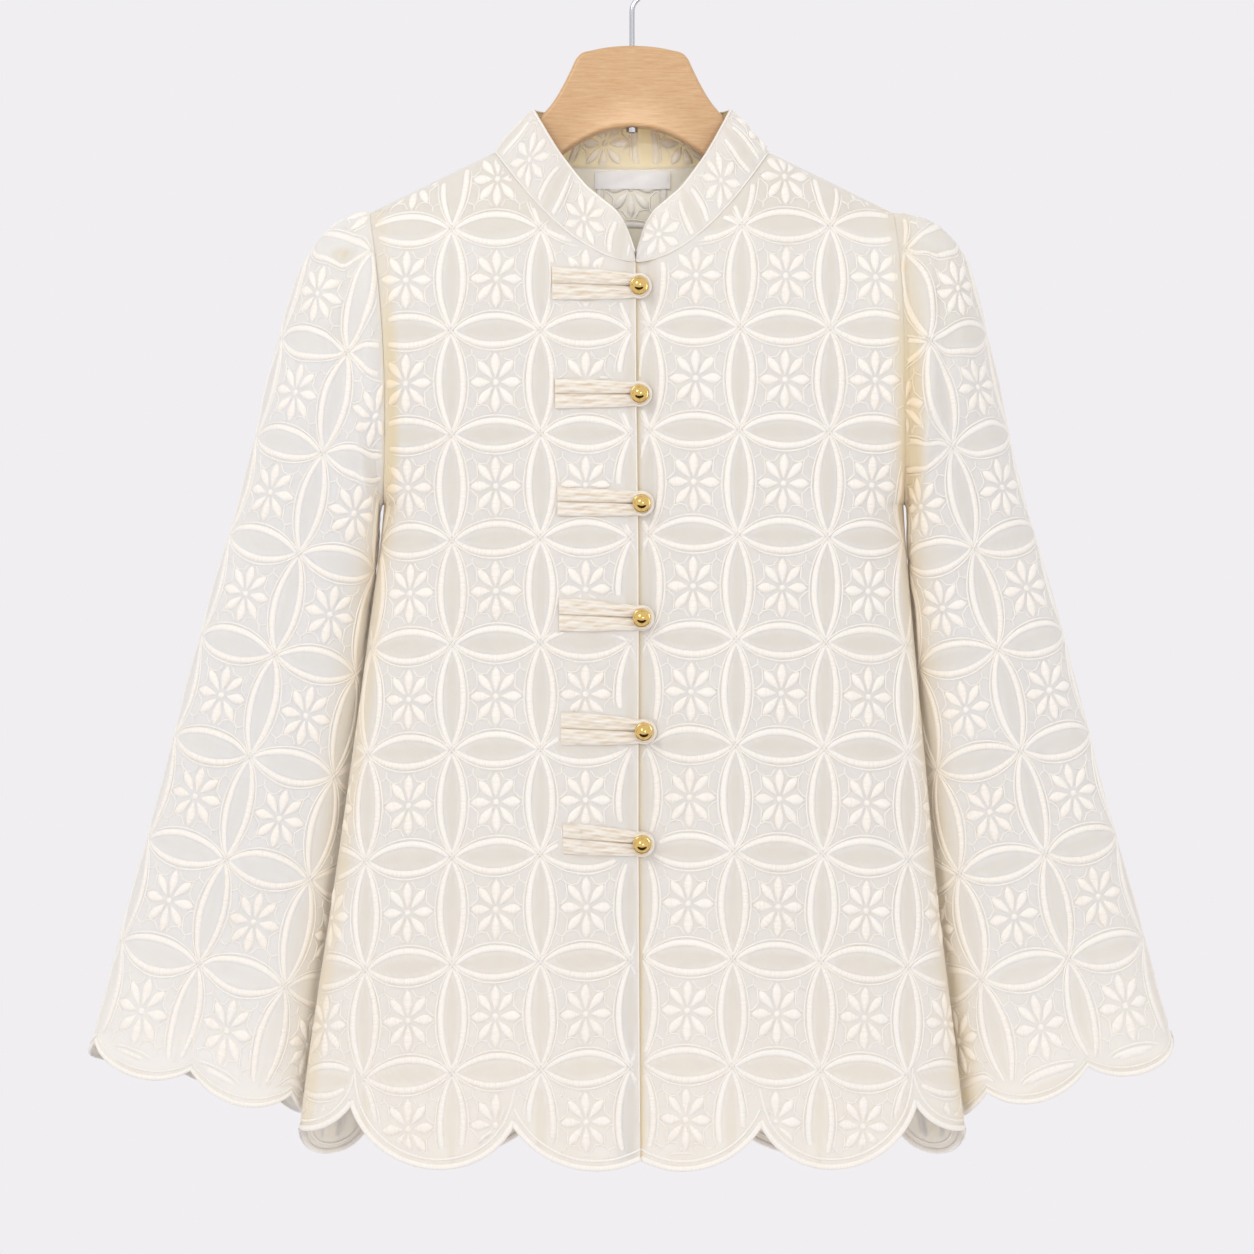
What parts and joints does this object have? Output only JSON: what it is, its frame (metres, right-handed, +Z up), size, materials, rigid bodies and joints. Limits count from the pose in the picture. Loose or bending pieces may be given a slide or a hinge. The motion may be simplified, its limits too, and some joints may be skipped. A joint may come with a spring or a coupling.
{
  "type": "blouse on wooden hanger",
  "caption": "Sheer embroidered blouse with long flared sleeves, stand collar, looped ball-button closing and scalloped hem and cuffs, hung on a shaped wooden hanger.",
  "frame": {"origin": "inner crown of the hanger's hook, where a rail carries it", "axes": "+Z up; the front faces -Y; +X is the wearer's left, the viewer's right"},
  "size_m": [0.7421, 0.1094, 0.8431],
  "materials": {
    "embroidered_cloth": "matte sheer ivory cloth with raised embroidery",
    "label_satin": "off-white woven satin, bare",
    "gold": "polished gold colour",
    "beech": "light varnished beech",
    "steel": "bright plated steel wire"
  },
  "bodies": {
    "root": {"front_left": "embroidered_cloth", "front_right": "embroidered_cloth", "back": "embroidered_cloth", "sleeve_left": "embroidered_cloth", "sleeve_right": "embroidered_cloth", "collar": "embroidered_cloth", "loop_1": "embroidered_cloth", "loop_2": "embroidered_cloth", "loop_3": "embroidered_cloth", "loop_4": "embroidered_cloth", "loop_5": "embroidered_cloth", "loop_6": "embroidered_cloth", "neck_label": "label_satin", "button_1": "gold", "button_2": "gold", "button_3": "gold", "button_4": "gold", "button_5": "gold", "button_6": "gold", "hanger_wood": "beech", "hanger_hook": "steel", "hanger_nut": "steel"}
  },
  "joints": []
}
